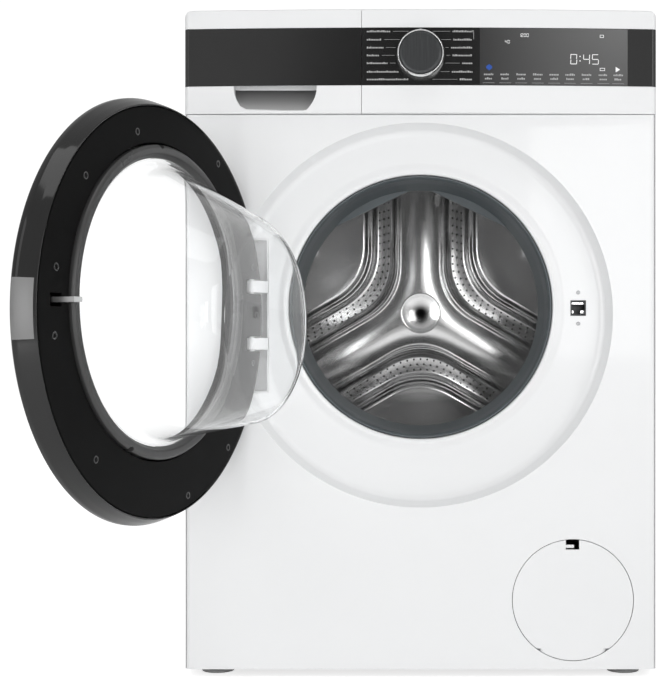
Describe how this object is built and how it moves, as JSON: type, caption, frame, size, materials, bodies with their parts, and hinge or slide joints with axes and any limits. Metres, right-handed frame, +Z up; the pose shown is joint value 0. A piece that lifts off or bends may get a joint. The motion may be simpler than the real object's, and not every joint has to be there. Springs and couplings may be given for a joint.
{
  "type": "front load washing machine",
  "caption": "Free-standing front loading washing machine with an open round porthole door, bowed black control band, turning selector knob, detergent drawer and a sprung tub with a steel drum.",
  "frame": {"origin": "middle of the base tray's underside; the floor is 10 mm below it, at the soles of the feet", "axes": "+X to the right seen from the front, +Y to the back, +Z up; the front panel faces -Y"},
  "size_m": [0.7091, 1.0162, 0.845],
  "materials": {
    "white_paint": "smooth white enamel, semi-gloss",
    "white_plastic": "satin white moulded plastic",
    "worktop_laminate": "white melamine laminate on chipboard",
    "black_glass": "polished black control band",
    "black_gloss": "high gloss black moulding",
    "clear_glass": "clear pressed glass",
    "grey_rubber": "satin blue-grey door seal rubber",
    "black_rubber": "matt black rubber",
    "stainless": "bright rolled stainless steel",
    "chrome": "polished bright trim",
    "dark_metal": "dark spun metal",
    "motor_steel": "dark painted laminations",
    "grey_plastic": "light grey moulded plastic",
    "dark_plastic": "dark grey moulded plastic",
    "zinc": "zinc plated steel",
    "cast_alloy": "raw cast aluminium",
    "concrete": "cast concrete"
  },
  "bodies": {
    "cabinet": {"cabinet_wrap": "white_paint", "front_panel": "white_paint", "rear_cover": "zinc", "worktop": "worktop_laminate", "base_tray": "dark_plastic", "control_fascia": "white_plastic", "fascia_glass": "black_glass", "control_board": "dark_plastic", "dispenser_housing": "grey_plastic", "hinge_bracket": "white_plastic", "door_lock": "dark_metal", "gasket": "grey_rubber", "spring_left": "zinc", "spring_right": "zinc", "damper_tube_left": "grey_plastic", "damper_tube_right": "grey_plastic", "fill_bellows": "black_rubber", "sump_hose": "black_rubber", "inlet_valve": "grey_plastic", "drain_outlet": "grey_plastic", "cable_gland": "dark_plastic", "drain_pump": "white_plastic"},
    "door": {"door_outer_ring": "black_gloss", "door_inner_frame": "black_gloss", "door_bowl": "clear_glass"},
    "latch": {"latch_hook": "zinc"},
    "drawer": {"drawer_front": "white_plastic", "drawer_glass": "black_glass", "drawer_tray": "grey_plastic", "siphon_cap": "grey_plastic"},
    "knob": {"knob_cap": "dark_metal", "knob_ring": "chrome"},
    "flap": {"service_flap": "white_paint"},
    "filter": {"pump_filter": "grey_plastic"},
    "impeller": {"pump_impeller": "dark_plastic"},
    "tub": {"tub_front": "grey_plastic", "tub_rear": "grey_plastic", "counterweight_front": "concrete", "counterweight_top": "concrete", "heater": "stainless", "motor_housing": "motor_steel", "drive_belt": "black_rubber", "bearing_front": "zinc", "bearing_rear": "zinc", "shaft_seal": "black_rubber", "damper_rod_left": "zinc", "damper_rod_right": "zinc"},
    "drum": {"drum_shell": "stainless", "drum_back": "stainless", "hub_cap": "chrome", "drum_spider": "cast_alloy", "drum_pulley": "cast_alloy", "lifter_1": "grey_plastic", "lifter_2": "grey_plastic", "lifter_3": "grey_plastic"},
    "rotor": {"motor_rotor": "motor_steel"},
    "foot_front_left": {"foot_front_left": "black_rubber"},
    "foot_front_right": {"foot_front_right": "black_rubber"},
    "foot_rear_left": {"foot_rear_left": "black_rubber"},
    "foot_rear_right": {"foot_rear_right": "black_rubber"}
  },
  "joints": [
    {"name": "door_hinge", "type": "hinge", "parent": "cabinet", "child": "door", "pos_m": [-0.2145, -0.282, 0.449], "axis": [0, 0, -1], "range_deg": [-112.3, 3]},
    {"name": "latch_rock", "type": "hinge", "parent": "door", "child": "latch", "pos_m": [-0.3801, -0.66468, 0.4585], "axis": [-0.3795, -0.9252, 0], "range_deg": [0, 6], "stiffness_Nm_per_rad": 0.08, "springref_deg": -8.59},
    {"name": "drawer_slide", "type": "slide", "parent": "cabinet", "child": "drawer", "axis": [0, -1, 0], "range_m": [0, 0.24]},
    {"name": "knob_turn", "type": "hinge", "parent": "cabinet", "child": "knob", "pos_m": [0, -0.31, 0.776], "axis": [0, -1, 0], "continuous": true},
    {"name": "flap_hinge", "type": "hinge", "parent": "cabinet", "child": "flap", "pos_m": [0.193, -0.2866, 0.024], "axis": [1, 0, 0], "range_deg": [0, 78]},
    {"name": "filter_turn", "type": "hinge", "parent": "cabinet", "child": "filter", "pos_m": [0.193, -0.25, 0.07], "axis": [0, -1, 0], "range_deg": [0, 90]},
    {"name": "pump_spin", "type": "hinge", "parent": "cabinet", "child": "impeller", "pos_m": [0.193, -0.178, 0.07], "axis": [0, -1, 0], "continuous": true},
    {"name": "tub_bounce", "type": "slide", "parent": "cabinet", "child": "tub", "axis": [0, 0, 1], "range_m": [-0.01, 0.01], "stiffness_N_per_m": 14000, "springref_m": 0.03013, "deforming": ["gasket", "spring_left", "spring_right", "fill_bellows", "sump_hose"]},
    {"name": "drum_spin", "type": "hinge", "parent": "tub", "child": "drum", "pos_m": [0, 0, 0.46], "axis": [0, -1, 0], "continuous": true},
    {"name": "motor_spin", "type": "hinge", "parent": "tub", "child": "rotor", "pos_m": [0, 0.2, 0.118], "axis": [0, -1, 0], "continuous": true},
    {"name": "foot_screw_front_left", "type": "hinge", "parent": "cabinet", "child": "foot_front_left", "pos_m": [-0.262, -0.245, 0], "axis": [0, 0, 1], "range_deg": [-360, 360]},
    {"name": "foot_screw_front_right", "type": "hinge", "parent": "cabinet", "child": "foot_front_right", "pos_m": [0.262, -0.245, 0], "axis": [0, 0, 1], "range_deg": [-360, 360]},
    {"name": "foot_screw_rear_left", "type": "hinge", "parent": "cabinet", "child": "foot_rear_left", "pos_m": [-0.262, 0.249, 0], "axis": [0, 0, 1], "range_deg": [-360, 360]},
    {"name": "foot_screw_rear_right", "type": "hinge", "parent": "cabinet", "child": "foot_rear_right", "pos_m": [0.262, 0.249, 0], "axis": [0, 0, 1], "range_deg": [-360, 360]}
  ],
  "couplings": [
    {"joint": "motor_spin", "follows": "drum_spin", "ratio": 14}
  ]
}
